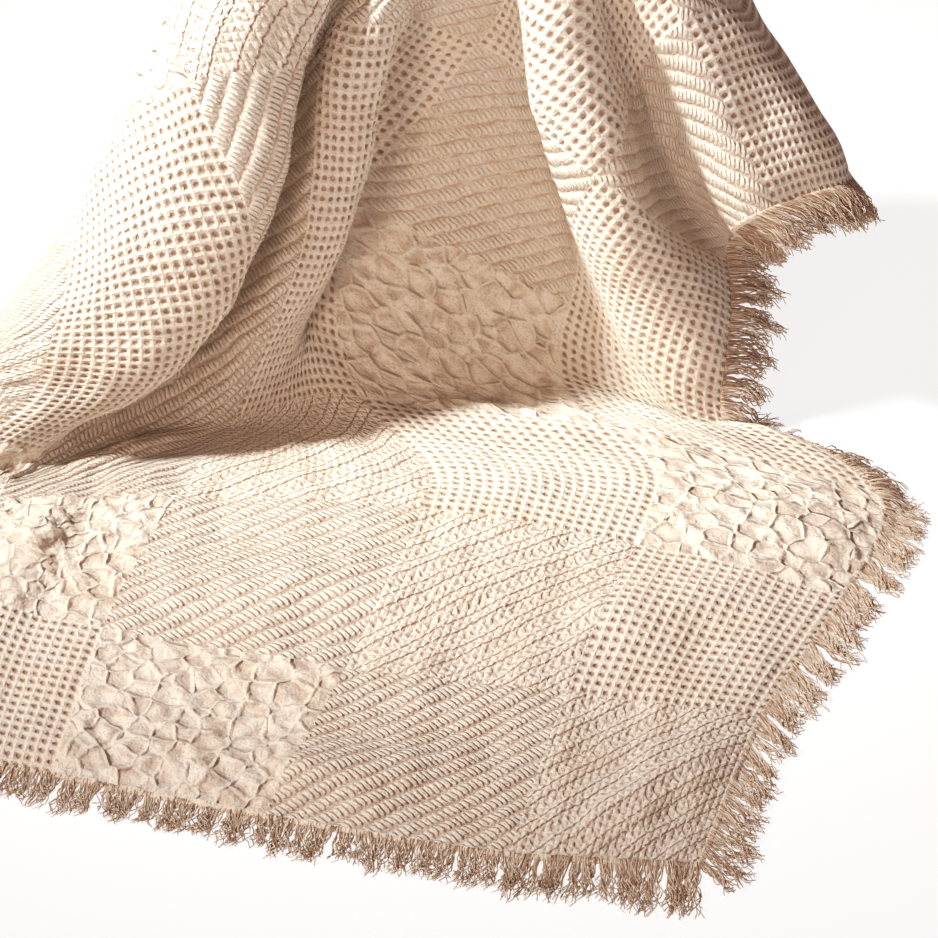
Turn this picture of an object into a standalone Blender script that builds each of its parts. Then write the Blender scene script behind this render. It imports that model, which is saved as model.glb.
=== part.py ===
"""Fringed throw blanket: one woven cotton cloth with a self fringe on its four edges.

The cloth is held up at one place near its back edge, falls in deep folds and
runs out flat over the floor towards the front.  Metres, +Z up, front is -Y.
A place on the cloth is given by `a`, the distance from its right edge, and
`v`, the distance from its front edge.
"""

import math

import bmesh
import bpy
import numpy as np

# The woven cloth, before it was hung, and its weight class.
WIDTH = 1.18
LENGTH = 1.38
THICK = 0.0026

# Where the cloth is held: on the cloth, and in the room.
HOLD_A = 0.50
HOLD_V = 1.23
APEX = (0.0, 0.25, 0.58)

# Distances from the hold, along the cloth, at which the fold table gives plan positions.
STATIONS = (0.15, 0.30, 0.45, 0.60, 0.85)

# One row per fold line that runs out from the hold.  Turn is its direction on the flat
# cloth in degrees, anticlockwise from the right edge; x and y are its plan position at
# each station.  The height follows from the length of cloth between stations.
FOLDS = (
    # turn      x15     y15     x30     y30     x45     y45     x60     y60     x85     y85
    (-180.0, -0.130, 0.260, -0.235, 0.270, -0.295, 0.285, -0.350, 0.300, -0.470, 0.330),
    (-166.0, -0.130, 0.230, -0.220, 0.210, -0.280, 0.210, -0.350, 0.215, -0.510, 0.220),
    (-152.0, -0.130, 0.195, -0.245, 0.155, -0.310, 0.135, -0.380, 0.120, -0.550, 0.120),
    (-139.0, -0.108, 0.170, -0.205, 0.100, -0.260, 0.070, -0.340, 0.035, -0.560, 0.048),
    (-126.0, -0.085, 0.165, -0.145, 0.103, -0.183, 0.067, -0.262, 0.028, -0.492, -0.012),
    (-118.0, -0.080, 0.168, -0.158, 0.138, -0.215, 0.118, -0.300, 0.078, -0.462, -0.036),
    (-111.0, -0.070, 0.170, -0.140, 0.166, -0.196, 0.166, -0.275, 0.133, -0.427, -0.056),
    (-102.0, -0.058, 0.158, -0.112, 0.118, -0.150, 0.102, -0.220, 0.072, -0.362, -0.074),
    (-92.0, -0.044, 0.150, -0.080, 0.130, -0.115, 0.110, -0.180, 0.090, -0.240, -0.080),
    (-82.0, -0.022, 0.172, -0.080, 0.210, -0.150, 0.190, -0.150, 0.115, -0.130, -0.080),
    (-70.0, 0.000, 0.180, -0.020, 0.215, -0.050, 0.200, -0.030, 0.125, 0.010, -0.090),
    (-57.0, 0.028, 0.177, 0.048, 0.192, 0.060, 0.192, 0.100, 0.142, 0.200, -0.040),
    (-53.0, 0.035, 0.169, 0.059, 0.172, 0.088, 0.177, 0.132, 0.132, 0.245, -0.028),
    (-49.0, 0.039, 0.160, 0.058, 0.147, 0.099, 0.149, 0.156, 0.112, 0.290, -0.010),
    (-45.0, 0.043, 0.150, 0.062, 0.123, 0.104, 0.119, 0.171, 0.087, 0.315, 0.012),
    (-42.0, 0.050, 0.143, 0.074, 0.107, 0.113, 0.096, 0.190, 0.072, 0.338, 0.033),
    (-38.0, 0.058, 0.139, 0.093, 0.098, 0.131, 0.073, 0.220, 0.067, 0.385, 0.072),
    (-34.0, 0.066, 0.141, 0.113, 0.103, 0.157, 0.078, 0.245, 0.092, 0.418, 0.108),
    (-31.0, 0.071, 0.147, 0.122, 0.118, 0.165, 0.102, 0.260, 0.114, 0.434, 0.124),
    (-25.0, 0.080, 0.156, 0.132, 0.147, 0.174, 0.146, 0.284, 0.144, 0.450, 0.125),
    (-21.0, 0.088, 0.158, 0.144, 0.155, 0.191, 0.158, 0.298, 0.138, 0.440, 0.090),
    (-17.0, 0.096, 0.155, 0.155, 0.140, 0.207, 0.135, 0.296, 0.098, 0.395, 0.015),
    (-13.0, 0.103, 0.152, 0.162, 0.122, 0.214, 0.107, 0.285, 0.055, 0.360, -0.050),
    (-8.0, 0.112, 0.157, 0.178, 0.109, 0.234, 0.078, 0.300, 0.030, 0.390, -0.060),
    (-1.0, 0.124, 0.180, 0.206, 0.125, 0.272, 0.083, 0.335, 0.045, 0.430, -0.020),
    (12.0, 0.121, 0.230, 0.226, 0.172, 0.318, 0.122, 0.385, 0.088, 0.480, 0.060),
    (28.0, 0.125, 0.305, 0.220, 0.300, 0.280, 0.300, 0.340, 0.310, 0.480, 0.320),
    (60.0, 0.070, 0.360, 0.100, 0.400, 0.110, 0.430, 0.120, 0.460, 0.150, 0.500),
    (100.0, -0.005, 0.380, -0.010, 0.420, -0.010, 0.450, -0.010, 0.480, -0.010, 0.520),
    (140.0, -0.075, 0.350, -0.130, 0.390, -0.160, 0.430, -0.200, 0.470, -0.260, 0.520),
    (163.0, -0.120, 0.300, -0.215, 0.330, -0.275, 0.355, -0.330, 0.378, -0.450, 0.410),
)

# Where the corners of the woven squares lie on the floor: a row per line of squares,
# a column pair x, y per distance from the right edge in LANDING_A.
LANDING_A = (0.01, 0.19, 0.39, 0.59, 0.79, 1.17)
LANDING_V = (0.01, 0.19, 0.39, 0.59, 0.79)
LANDING = (
    ((0.175, -0.491), (0.033, -0.480), (-0.159, -0.440), (-0.334, -0.394), (-0.510, -0.345), (-0.820, -0.250)),
    ((0.235, -0.335), (0.082, -0.309), (-0.105, -0.279), (-0.314, -0.228), (-0.485, -0.185), (-0.745, -0.130)),
    ((0.320, -0.182), (0.150, -0.115), (-0.043, -0.064), (-0.270, -0.047), (-0.435, -0.050), (-0.675, -0.025)),
    ((0.370, -0.050), (0.195, 0.040), (-0.025, 0.095), (-0.225, 0.090), (-0.390, 0.050), (-0.615, 0.070)),
    ((0.265, 0.055), (0.175, 0.085), (-0.020, 0.230), (-0.190, 0.220), (-0.330, 0.220), (-0.520, 0.220)),
)

# The farthest that each of the two tables is followed.
FOLD_END = 1.0
LANDING_END = 0.90

# Where the hanging cloth gives way to the lying cloth: the distance from the hold at which
# that starts, how much farther out it starts over the left folds, and how wide it is.  It
# happens between the turns in LEFT_TURNS on the left and not at all right of RIGHT_TURNS.
LIE_START = 0.56
LIE_LEFT = 0.30
LIE_BLEND = 0.26
LEFT_TURNS = (104.0, 124.0)
RIGHT_TURNS = (20.0, 36.0)

# How gently the cloth comes down on to the floor.
EASE = 0.012

# Swells in the part that lies on the floor: place on the cloth, size of the swell along
# and across its own line, the turn of that line, and its height.
SWELLS = (
    # a      v     along  across  turn   height
    (0.670, 0.515, 0.080, 0.028, 41.0, 0.014),
    (0.700, 0.270, 0.120, 0.035, 95.0, 0.018),
    (0.300, 0.590, 0.200, 0.045, 5.0, 0.017),
    (0.010, 0.665, 0.095, 0.090, 90.0, 0.027),
    (0.080, 0.480, 0.090, 0.070, 60.0, 0.012),
    (0.450, 0.270, 0.160, 0.050, 15.0, 0.010),
    (0.150, 0.300, 0.110, 0.050, 40.0, 0.012),
    (0.080, 0.080, 0.080, 0.040, 50.0, 0.012),
    (0.350, 0.060, 0.100, 0.035, 10.0, 0.010),
    (0.950, 0.300, 0.180, 0.060, 120.0, 0.020),
)

# The share of each swell's height below which the cloth lies flat on the floor, how
# pointed a swell is, and how fast the swells set in where the cloth comes down.
SWELL_FOOT = 0.08
SWELL_POINT = 1.3
SWELL_BLEND = 1.6

# The cloth grid, finer towards the hold by the share GRID_PULL within GRID_REACH of it.
# One fringe lock stands at each cell of an edge.
CELLS_A = 44
CELLS_V = 60
GRID_PULL = 0.32
GRID_CROWD = 2.4
GRID_REACH = 0.24
GRID_SAMPLES = 400
SLOPE_STEP = 0.002

# The fringe: a strip of the ground weave beside the hem, and locks of yarn.
ROOM = 0.0009
STRIP = 0.004
LOCK_SHARE = 0.58
LOCK_LENGTH = 0.048
LENGTHS = (0.88, 1.08)
STEEPEST = 62.0
LEAN_SHARE = 0.85
SWAY = 0.09
SWAY_STEP = 0.9
SWAY_CHANCE = 0.03
# How far a lock's width turns level towards its tip, and the least slope it keeps.
LEVEL_SHARE = 0.7
LEVEL_KEEP = 0.15
LOCK_SECTIONS = (
    # share of length, share of lean, width against the root's, thickness
    (0.50, 0.75, 0.90, 0.0030),
    (0.50, 1.15, 0.55, 0.0024),
)
# Stretches of an edge whose locks lie their own way, wholly so within LAY_CORE of the half.
LAY_CORE = 0.6
LAYS = (
    # edge   middle   half   lean  swing along the edge
    ("right", 0.830, 0.050, 20.0, -20.0),
)

CLOTH_COLOUR = (0.86, 0.76, 0.64, 1.0)
CLOTH_ROUGHNESS = 0.95
YARN_COLOUR = (0.90, 0.82, 0.70, 1.0)
YARN_ROUGHNESS = 0.95


def smooth(value, low, high):
    """Ease from 0 at low to 1 at high."""
    t = np.clip((value - low) / (high - low), 0.0, 1.0)
    return t * t * (3.0 - 2.0 * t)


def carried_on(knots):
    """The knots with one more at each end, at the end's own distance."""
    return (2 * knots[0] - knots[1],) + tuple(knots) + (2 * knots[-1] - knots[-2],)


def spline_weights(knots, place):
    """Catmull-Rom weights of each knot at each place, for knots at uneven distances."""
    knots = np.asarray(knots)
    place = np.asarray(place)
    index = np.clip(np.searchsorted(knots, place) - 1, 1, len(knots) - 3)
    k0 = knots[index - 1]
    k1 = knots[index]
    k2 = knots[index + 1]
    k3 = knots[index + 2]
    step = k2 - k1
    t = (place - k1) / step
    rise = t ** 3 - 2 * t ** 2 + t
    fall = t ** 3 - t ** 2
    start = 2 * t ** 3 - 3 * t ** 2 + 1
    # The slopes are those of the parabola through each knot and its two neighbours.
    d01 = k1 - k0
    d12 = step
    d23 = k3 - k2
    m1 = (-d12 / (d01 * (d01 + d12)), (d12 - d01) / (d01 * d12), d01 / (d12 * (d01 + d12)))
    m2 = (-d23 / (d12 * (d12 + d23)), (d23 - d12) / (d12 * d23), d12 / (d23 * (d12 + d23)))
    w0 = rise * step * m1[0]
    w1 = start + rise * step * m1[1] + fall * step * m2[0]
    w2 = (1 - start) + rise * step * m1[2] + fall * step * m2[1]
    w3 = fall * step * m2[2]
    return index, (w0, w1, w2, w3)


def fold_net():
    """Positions of every fold line at every station, the height from the cloth's length."""
    rows = sorted(FOLDS)
    turns = [row[0] for row in rows]
    net = np.zeros((len(rows), len(STATIONS) + 1, 3))
    for i, row in enumerate(rows):
        net[i, 0] = APEX
        for j in range(len(STATIONS)):
            reach = STATIONS[j] - (STATIONS[j - 1] if j else 0.0)
            x, y = row[1 + 2 * j], row[2 + 2 * j]
            plan = math.hypot(x - net[i, j, 0], y - net[i, j, 1])
            drop = math.sqrt(max(reach ** 2 - plan ** 2, 0.0))
            net[i, j + 1] = (x, y, net[i, j, 2] - drop)
    # Wrap the rows round, so that the spline runs on past both ends.
    turns = [t - 360.0 for t in turns[-3:]] + turns + [t + 360.0 for t in turns[:3]]
    net = np.concatenate([net[-3:], net, net[:3]])
    return np.radians(turns), net


def hanging(a, v):
    """The cloth as it hangs from the hold."""
    turns, net = fold_net()
    across = HOLD_A - a
    along = v - HOLD_V
    rho = np.hypot(across, along)
    theta = np.arctan2(along, across)
    row, row_w = spline_weights(turns, theta)
    # Past the apex the fold lines run on level, which rounds the top off.
    stations = carried_on((0.0,) + STATIONS)
    before = 2 * net[:, :1] - net[:, 1:2]
    before[:, :, 2] = net[:, 1:2, 2]
    after = 2 * net[:, -1:] - net[:, -2:-1]
    net = np.concatenate([before, net, after], axis=1)
    col, col_w = spline_weights(stations, np.minimum(rho, FOLD_END))
    point = np.zeros(np.shape(a) + (3,))
    for i in range(4):
        for j in range(4):
            point += (row_w[i] * col_w[j])[..., None] * net[row + i - 1, col + j - 1]
    return point, rho, theta


def landing(a, v):
    """The cloth as it lies on the floor."""
    net = np.array(LANDING)
    net = np.concatenate([2 * net[:, :1] - net[:, 1:2], net, 2 * net[:, -1:] - net[:, -2:-1]], axis=1)
    net = np.concatenate([2 * net[:1] - net[1:2], net, 2 * net[-1:] - net[-2:-1]])
    row, row_w = spline_weights(carried_on(LANDING_V), np.minimum(v, LANDING_END))
    col, col_w = spline_weights(carried_on(LANDING_A), a)
    point = np.zeros(np.shape(a) + (3,))
    point[..., 2] = -EASE
    for i in range(4):
        for j in range(4):
            point[..., :2] += (row_w[i] * col_w[j])[..., None] * net[row + i - 1, col + j - 1]
    return point


def swell_height(a, v):
    """How far the swells lift the cloth that lies on the floor."""
    height = np.zeros(np.shape(a))
    for (mid_a, mid_v, along, across, turn, rise) in SWELLS:
        c, s = math.cos(math.radians(turn)), math.sin(math.radians(turn))
        p = (mid_a - a) * c + (v - mid_v) * s
        q = (v - mid_v) * c - (mid_a - a) * s
        bump = np.exp(-(p / along) ** 2 - (q / across) ** 2)
        height += rise * np.maximum(bump - SWELL_FOOT, 0.0) ** SWELL_POINT
    return height


def drape(a, v):
    """The middle of the cloth's thickness, in the room, at places on the cloth."""
    a, v = np.broadcast_arrays(np.asarray(a, float), np.asarray(v, float))
    point, rho, theta = hanging(a, v)
    flat = landing(a, v)
    turn = np.degrees(theta)
    start = LIE_START + LIE_LEFT * smooth(-turn, *LEFT_TURNS)
    lies = smooth(rho - start, 0.0, LIE_BLEND) * smooth(-turn, *RIGHT_TURNS)
    point = point + (flat - point) * lies[..., None]
    # The cloth rests on the floor where it would fall below it.
    low = point[..., 2]
    eased = (low + EASE) ** 2 / (4 * EASE)
    point[..., 2] = np.where(low > EASE, low, np.where(low < -EASE, 0.0, eased))
    point[..., 2] += THICK / 2 + swell_height(a, v) * np.minimum(lies * SWELL_BLEND, 1.0)
    return point


def grid_lines(size, hold, cells):
    """Places of the grid lines over one side of the cloth, closer together near the hold."""
    even = np.linspace(0.0, size, GRID_SAMPLES)
    crowd = 1.0 + GRID_PULL * (GRID_CROWD * np.exp(-((even - hold) / GRID_REACH) ** 2) - 1.0)
    count = np.concatenate([[0.0], np.cumsum((crowd[1:] + crowd[:-1]) / 2)])
    return np.interp(np.linspace(0.0, count[-1], cells + 1), count, even)


def cloth_grid(lines_a, lines_v):
    """Points and upward normals of the cloth, row by row from the front."""
    a = lines_a[None, :]
    v = lines_v[:, None]
    point = drape(a, v)
    to_left = drape(a + SLOPE_STEP, v) - drape(a - SLOPE_STEP, v)
    to_back = drape(a, v + SLOPE_STEP) - drape(a, v - SLOPE_STEP)
    up = np.cross(to_back, to_left)
    up /= np.linalg.norm(up, axis=-1, keepdims=True)
    return point, up


def unit(vector):
    """The vector at length one."""
    return vector / max(np.linalg.norm(vector), 1e-9)


def add_object(name, vertices, faces, colour, roughness):
    """Make one closed body with its own material."""
    mesh = bpy.data.meshes.new(name)
    mesh.from_pydata([tuple(map(float, p)) for p in vertices], [], faces)
    body = bmesh.new()
    body.from_mesh(mesh)
    bmesh.ops.recalc_face_normals(body, faces=body.faces)
    body.to_mesh(mesh)
    body.free()
    material = bpy.data.materials.new(name)
    material.use_nodes = True
    shader = material.node_tree.nodes["Principled BSDF"]
    shader.inputs["Base Color"].default_value = colour
    shader.inputs["Roughness"].default_value = roughness
    mesh.materials.append(material)
    item = bpy.data.objects.new(name, mesh)
    bpy.context.scene.collection.objects.link(item)
    return item


def build_cloth(point, up):
    """The woven cloth: an upper and a lower face joined by a rim."""
    rows, cols = point.shape[:2]
    upper = point + up * THICK / 2
    lower = point - up * THICK / 2
    lower[..., 2] = np.maximum(lower[..., 2], 0.0)
    vertices = list(upper.reshape(-1, 3)) + list(lower.reshape(-1, 3))
    below = rows * cols
    faces = []
    for i in range(rows - 1):
        for j in range(cols - 1):
            k = i * cols + j
            faces.append((k, k + 1, k + 1 + cols, k + cols))
            faces.append((below + k, below + k + cols, below + k + 1 + cols, below + k + 1))
    front = list(range(cols))
    left = [i * cols + cols - 1 for i in range(1, rows)]
    back = [(rows - 1) * cols + j for j in range(cols - 2, -1, -1)]
    right = [i * cols for i in range(rows - 2, 0, -1)]
    rim = front + left + back + right
    for k, here in enumerate(rim):
        there = rim[(k + 1) % len(rim)]
        faces.append((here, below + here, below + there, there))
    return add_object("throw_cloth", vertices, faces, CLOTH_COLOUR, CLOTH_ROUGHNESS)


def lock_lay(edge, place, height):
    """How far a lock turns down from straight out, and swings along its edge, in degrees."""
    lean = min(LEAN_SHARE * math.degrees(math.asin(min(height / LOCK_LENGTH, 1.0))), STEEPEST)
    swing = 0.0
    for (name, middle, half, leant, swung) in LAYS:
        if name == edge:
            share = 1.0 - smooth(abs(place - middle), half * LAY_CORE, half)
            lean += (leant - lean) * share
            swing += swung * share
    return math.radians(lean), math.radians(swing)


def outward_ways(rim, up, turn):
    """Unit ways out from an edge, square to it and in the plane of the cloth."""
    along = np.gradient(rim, axis=0)
    out = np.cross(along, up) * turn
    return out / np.linalg.norm(out, axis=1, keepdims=True)


def lock_ring(centre, side, thick_way, width, thick):
    """The four corners of a lock's section, raised to rest on the floor."""
    corners = []
    for (p, q) in ((-1, 1), (1, 1), (1, -1), (-1, -1)):
        corners.append(centre + side * p * width / 2 + thick_way * q * thick / 2)
    lowest = min(corner[2] for corner in corners)
    lift = np.array((0.0, 0.0, max(0.0, -lowest)))
    return [corner + lift for corner in corners]


def build_fringe(name, edge, rim, up, turn, places, seed):
    """One edge's fringe: a thin strip beside the rim, and locks of yarn rooted in it."""
    chance = np.random.default_rng(seed)
    outward = outward_ways(rim, up, turn)
    vertices = []
    faces = []
    stations = []
    for k in range(len(rim) - 1):
        stations.append((k, 0.0))
        stations.append((k, LOCK_SHARE))
    stations.append((len(rim) - 1, 0.0))
    for (k, t) in stations:
        m = min(k + 1, len(rim) - 1)
        base = rim[k] + (rim[m] - rim[k]) * t
        out = unit(outward[k] + (outward[m] - outward[k]) * t)
        rise = unit(up[k] + (up[m] - up[k]) * t)
        for (reach, level) in ((ROOM, 0.5), (ROOM + STRIP, 0.5), (ROOM + STRIP, -0.5), (ROOM, -0.5)):
            corner = base + out * reach + rise * THICK * level
            corner[2] = max(corner[2], 0.0)
            vertices.append(corner)
    end = 4 * (len(stations) - 1)
    faces.append((0, 3, 2, 1))
    faces.append((end, end + 1, end + 2, end + 3))
    for n in range(len(stations) - 1):
        p, q = 4 * n, 4 * (n + 1)
        faces.append((p, p + 1, q + 1, q))
        faces.append((p + 3, q + 3, q + 2, p + 2))
        faces.append((p, q, q + 3, p + 3))
        if n % 2:
            faces.append((p + 1, p + 2, q + 2, q + 1))
            continue
        # A lock grows from this stretch of the strip's outer face.
        k = n // 2
        along = unit(rim[k + 1] - rim[k])
        out = unit(outward[k] + outward[k + 1])
        sway = SWAY * math.sin(SWAY_STEP * k + seed) + chance.uniform(-SWAY_CHANCE, SWAY_CHANCE)
        root_width = LOCK_SHARE * np.linalg.norm(rim[k + 1] - rim[k])
        length = LOCK_LENGTH * chance.uniform(*LENGTHS)
        root = [vertices[p + 1], vertices[q + 1], vertices[q + 2], vertices[p + 2]]
        middle = sum(root) / 4
        lean, swing = lock_lay(edge, (places[k] + places[k + 1]) / 2, middle[2])
        out = unit(out * math.cos(swing) + along * math.sin(swing))
        level_along = unit(np.array((along[0], along[1], 0.0)) + along * LEVEL_KEEP)
        last = [p + 1, q + 1, q + 2, p + 2]
        for (share, bend, width, thick) in LOCK_SECTIONS:
            angle = lean * bend
            way = unit(out * math.cos(angle) + along * sway + np.array((0.0, 0.0, -1.0)) * math.sin(angle))
            middle = middle + way * length * share
            middle[2] = max(middle[2], thick / 2)
            side = unit(along + (level_along - along) * LEVEL_SHARE)
            side = unit(side - way * side.dot(way))
            thick_way = unit(np.cross(side, way))
            if thick_way.dot(up[k]) < 0:
                thick_way = -thick_way
            ring = lock_ring(middle, side, thick_way, width * root_width, thick)
            start = len(vertices)
            vertices.extend(ring)
            for c in range(4):
                d = (c + 1) % 4
                faces.append((last[c], last[d], start + d, start + c))
            last = [start, start + 1, start + 2, start + 3]
        faces.append((last[0], last[1], last[2], last[3]))
    return add_object(name, vertices, faces, YARN_COLOUR, YARN_ROUGHNESS)


def main():
    for item in list(bpy.data.objects):
        bpy.data.objects.remove(item)
    lines_a = grid_lines(WIDTH, HOLD_A, CELLS_A)
    lines_v = grid_lines(LENGTH, HOLD_V, CELLS_V)
    point, up = cloth_grid(lines_a, lines_v)
    build_cloth(point, up)
    build_fringe("fringe_front", "front", point[0], up[0], -1.0, lines_a, 11)
    build_fringe("fringe_back", "back", point[-1], up[-1], 1.0, lines_a, 12)
    build_fringe("fringe_right", "right", point[:, 0], up[:, 0], 1.0, lines_v, 13)
    build_fringe("fringe_left", "left", point[:, -1], up[:, -1], -1.0, lines_v, 14)


main()
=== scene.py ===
"""Looks of the fringed throw blanket: one finely woven sheet with its relief, and its yarn fringes.

Metres, +Z up, the front towards -Y.  The fold tables are those of the part's source.
A place on the cloth is `a`, its distance from the right edge, and `v`, from the front edge.
"""

import math

import bpy
import numpy as np
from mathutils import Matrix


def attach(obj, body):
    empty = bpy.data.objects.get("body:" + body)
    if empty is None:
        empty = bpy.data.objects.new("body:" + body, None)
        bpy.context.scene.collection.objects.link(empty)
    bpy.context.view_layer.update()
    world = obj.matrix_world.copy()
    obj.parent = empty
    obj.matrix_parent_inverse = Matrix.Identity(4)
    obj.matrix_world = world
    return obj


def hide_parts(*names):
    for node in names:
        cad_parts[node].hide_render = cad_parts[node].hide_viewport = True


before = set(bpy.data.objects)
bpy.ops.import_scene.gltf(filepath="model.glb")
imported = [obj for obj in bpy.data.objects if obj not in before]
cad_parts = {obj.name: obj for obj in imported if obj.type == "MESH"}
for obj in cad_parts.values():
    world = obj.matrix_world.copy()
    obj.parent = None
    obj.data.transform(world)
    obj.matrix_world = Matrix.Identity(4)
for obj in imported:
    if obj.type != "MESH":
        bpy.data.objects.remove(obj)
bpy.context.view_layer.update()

# The woven cloth, before it was hung.
WIDTH = 1.18
LENGTH = 1.38
THICK = 0.0026

# Where the cloth is held: on the cloth, and in the room.
HOLD_A = 0.50
HOLD_V = 1.23
APEX = (0.0, 0.25, 0.58)

# Distances from the hold, along the cloth, at which the fold table gives plan positions.
STATIONS = (0.15, 0.30, 0.45, 0.60, 0.85)

# One row per fold line that runs out from the hold.  Turn is its direction on the flat
# cloth in degrees, anticlockwise from the right edge; x and y are its plan position at
# each station.  The height follows from the length of cloth between stations.
FOLDS = (
    # turn      x15     y15     x30     y30     x45     y45     x60     y60     x85     y85
    (-180.0, -0.130, 0.260, -0.235, 0.270, -0.295, 0.285, -0.350, 0.300, -0.470, 0.330),
    (-166.0, -0.130, 0.230, -0.220, 0.210, -0.280, 0.210, -0.350, 0.215, -0.510, 0.220),
    (-152.0, -0.130, 0.195, -0.245, 0.155, -0.310, 0.135, -0.380, 0.120, -0.550, 0.120),
    (-139.0, -0.108, 0.170, -0.205, 0.100, -0.260, 0.070, -0.340, 0.035, -0.560, 0.048),
    (-126.0, -0.085, 0.165, -0.145, 0.103, -0.183, 0.067, -0.262, 0.028, -0.492, -0.012),
    (-118.0, -0.080, 0.168, -0.158, 0.138, -0.215, 0.118, -0.300, 0.078, -0.462, -0.036),
    (-111.0, -0.070, 0.170, -0.140, 0.166, -0.196, 0.166, -0.275, 0.133, -0.427, -0.056),
    (-102.0, -0.058, 0.158, -0.112, 0.118, -0.150, 0.102, -0.220, 0.072, -0.362, -0.074),
    (-92.0, -0.044, 0.150, -0.080, 0.130, -0.115, 0.110, -0.180, 0.090, -0.240, -0.080),
    (-82.0, -0.022, 0.172, -0.080, 0.210, -0.150, 0.190, -0.150, 0.115, -0.130, -0.080),
    (-70.0, 0.000, 0.180, -0.020, 0.215, -0.050, 0.200, -0.030, 0.125, 0.010, -0.090),
    (-57.0, 0.028, 0.177, 0.048, 0.192, 0.060, 0.192, 0.100, 0.142, 0.200, -0.040),
    (-53.0, 0.035, 0.169, 0.059, 0.172, 0.088, 0.177, 0.132, 0.132, 0.245, -0.028),
    (-49.0, 0.039, 0.160, 0.058, 0.147, 0.099, 0.149, 0.156, 0.112, 0.290, -0.010),
    (-45.0, 0.043, 0.150, 0.062, 0.123, 0.104, 0.119, 0.171, 0.087, 0.315, 0.012),
    (-42.0, 0.050, 0.143, 0.074, 0.107, 0.113, 0.096, 0.190, 0.072, 0.338, 0.033),
    (-38.0, 0.058, 0.139, 0.093, 0.098, 0.131, 0.073, 0.220, 0.067, 0.385, 0.072),
    (-34.0, 0.066, 0.141, 0.113, 0.103, 0.157, 0.078, 0.245, 0.092, 0.418, 0.108),
    (-31.0, 0.071, 0.147, 0.122, 0.118, 0.165, 0.102, 0.260, 0.114, 0.434, 0.124),
    (-25.0, 0.080, 0.156, 0.132, 0.147, 0.174, 0.146, 0.284, 0.144, 0.450, 0.125),
    (-21.0, 0.088, 0.158, 0.144, 0.155, 0.191, 0.158, 0.298, 0.138, 0.440, 0.090),
    (-17.0, 0.096, 0.155, 0.155, 0.140, 0.207, 0.135, 0.296, 0.098, 0.395, 0.015),
    (-13.0, 0.103, 0.152, 0.162, 0.122, 0.214, 0.107, 0.285, 0.055, 0.360, -0.050),
    (-8.0, 0.112, 0.157, 0.178, 0.109, 0.234, 0.078, 0.300, 0.030, 0.390, -0.060),
    (-1.0, 0.124, 0.180, 0.206, 0.125, 0.272, 0.083, 0.335, 0.045, 0.430, -0.020),
    (12.0, 0.121, 0.230, 0.226, 0.172, 0.318, 0.122, 0.385, 0.088, 0.480, 0.060),
    (28.0, 0.125, 0.305, 0.220, 0.300, 0.280, 0.300, 0.340, 0.310, 0.480, 0.320),
    (60.0, 0.070, 0.360, 0.100, 0.400, 0.110, 0.430, 0.120, 0.460, 0.150, 0.500),
    (100.0, -0.005, 0.380, -0.010, 0.420, -0.010, 0.450, -0.010, 0.480, -0.010, 0.520),
    (140.0, -0.075, 0.350, -0.130, 0.390, -0.160, 0.430, -0.200, 0.470, -0.260, 0.520),
    (163.0, -0.120, 0.300, -0.215, 0.330, -0.275, 0.355, -0.330, 0.378, -0.450, 0.410),
)

# Where the corners of the woven squares lie on the floor: a row per line of squares,
# a column pair x, y per distance from the right edge in LANDING_A.
LANDING_A = (0.01, 0.19, 0.39, 0.59, 0.79, 1.17)
LANDING_V = (0.01, 0.19, 0.39, 0.59, 0.79)
LANDING = (
    (
        (0.175, -0.491), (0.033, -0.480), (-0.159, -0.440),
        (-0.334, -0.394), (-0.510, -0.345), (-0.820, -0.250),
    ),
    (
        (0.235, -0.335), (0.082, -0.309), (-0.105, -0.279),
        (-0.314, -0.228), (-0.485, -0.185), (-0.745, -0.130),
    ),
    (
        (0.320, -0.182), (0.150, -0.115), (-0.043, -0.064),
        (-0.270, -0.047), (-0.435, -0.050), (-0.675, -0.025),
    ),
    (
        (0.370, -0.050), (0.195, 0.040), (-0.025, 0.095),
        (-0.225, 0.090), (-0.390, 0.050), (-0.615, 0.070),
    ),
    (
        (0.265, 0.055), (0.175, 0.085), (-0.020, 0.230),
        (-0.190, 0.220), (-0.330, 0.220), (-0.520, 0.220),
    ),
)

# The step along the cloth over which its directions are measured.
EDGE_STEP = 0.002

# The farthest that each of the two tables is followed.
FOLD_END = 1.0
LANDING_END = 0.90

# Where the hanging cloth gives way to the lying cloth: the distance from the hold at which
# that starts, how much farther out it starts over the left folds, and how wide it is.  It
# happens between the turns in LEFT_TURNS on the left and not at all right of RIGHT_TURNS.
LIE_START = 0.56
LIE_LEFT = 0.30
LIE_BLEND = 0.26
LEFT_TURNS = (104.0, 124.0)
RIGHT_TURNS = (20.0, 36.0)

# How gently the cloth comes down on to the floor, and the least room under the sheet.
EASE = 0.012
FLOOR_ROOM = 0.0004

# Swells in the part that lies on the floor: place on the cloth, size of the swell along
# and across its own line, the turn of that line, and its height.
SWELLS = (
    # a      v     along  across  turn   height
    (0.670, 0.515, 0.080, 0.028, 41.0, 0.014),
    (0.700, 0.270, 0.120, 0.035, 95.0, 0.018),
    (0.300, 0.590, 0.200, 0.045, 5.0, 0.017),
    (0.010, 0.665, 0.095, 0.090, 90.0, 0.027),
    (0.080, 0.480, 0.090, 0.070, 60.0, 0.012),
    (0.450, 0.270, 0.160, 0.050, 15.0, 0.010),
    (0.150, 0.300, 0.110, 0.050, 40.0, 0.012),
    (0.080, 0.080, 0.080, 0.040, 50.0, 0.012),
    (0.350, 0.060, 0.100, 0.035, 10.0, 0.010),
    (0.950, 0.300, 0.180, 0.060, 120.0, 0.020),
)

# The share of each swell's height below which the cloth lies flat on the floor, how
# pointed a swell is, and how fast the swells set in where the cloth comes down.
SWELL_FOOT = 0.08
SWELL_POINT = 1.3
SWELL_BLEND = 1.6

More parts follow.
